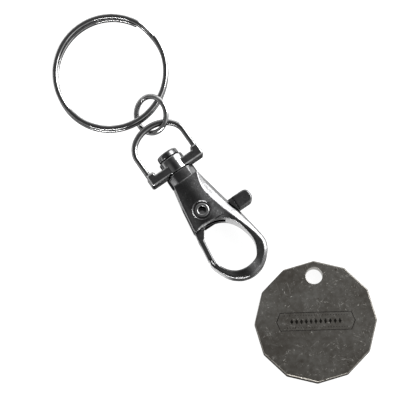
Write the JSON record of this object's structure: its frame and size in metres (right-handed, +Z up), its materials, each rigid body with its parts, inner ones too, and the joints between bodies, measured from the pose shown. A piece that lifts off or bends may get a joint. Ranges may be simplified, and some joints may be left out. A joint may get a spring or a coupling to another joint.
{
  "type": "trolley coin with keyring clasp",
  "caption": "Flat many-sided metal token with a hole near one corner, beside a key clasp with a sprung gate, a swivel bail, a jump ring and a split ring.",
  "frame": {"origin": "middle of the floor under the whole layout, with the keyring and the token lying on z = 0", "axes": "+X to the right of the layout, +Y from the token's corner towards the split ring's corner, +Z up from the floor"},
  "size_m": [0.0626, 0.0724, 0.0054],
  "materials": {
    "token_metal": "dark antiqued plating, satin, lightly scratched",
    "chrome": "bright nickel plating on die-cast zinc and steel wire",
    "spring_steel": "plain drawn spring wire"
  },
  "bodies": {
    "clasp": {"hook_body": "chrome", "swivel_rivet": "chrome", "pivot_rivet": "chrome", "trigger_spring": "spring_steel"},
    "trigger": {"trigger": "chrome"},
    "bail": {"swivel_bail": "chrome"},
    "jump_ring": {"jump_ring": "chrome"},
    "split_ring": {"split_ring": "chrome"},
    "coin": {"coin": "token_metal"}
  },
  "joints": [
    {"name": "trigger_pivot", "type": "hinge", "parent": "clasp", "child": "trigger", "pos_m": [-0.00219, -0.00339, 0.00272], "axis": [0, 0, 1], "range_deg": [0, 35], "stiffness_Nm_per_rad": 0.006, "springref_deg": -40.11, "deforming": ["trigger_spring"]},
    {"name": "bail_swivel", "type": "hinge", "parent": "clasp", "child": "bail", "pos_m": [-0.00665, 0.00459, 0.00272], "axis": [0.5678, -0.8231, 0], "continuous": true},
    {"name": "jump_ring_swing", "type": "hinge", "parent": "bail", "child": "jump_ring", "pos_m": [-0.01126, 0.01395, 0.00272], "axis": [-0.9288, -0.3706, 0], "range_deg": [-60, 60]},
    {"name": "split_ring_swing", "type": "hinge", "parent": "jump_ring", "child": "split_ring", "pos_m": [-0.01229, 0.01652, 0.00252], "axis": [-0.7145, -0.6997, 0], "range_deg": [-60, 60]},
    {"name": "coin_lift", "type": "slide", "parent": "clasp", "child": "coin", "axis": [0, 0, 1], "range_m": [0, 0.04]}
  ]
}
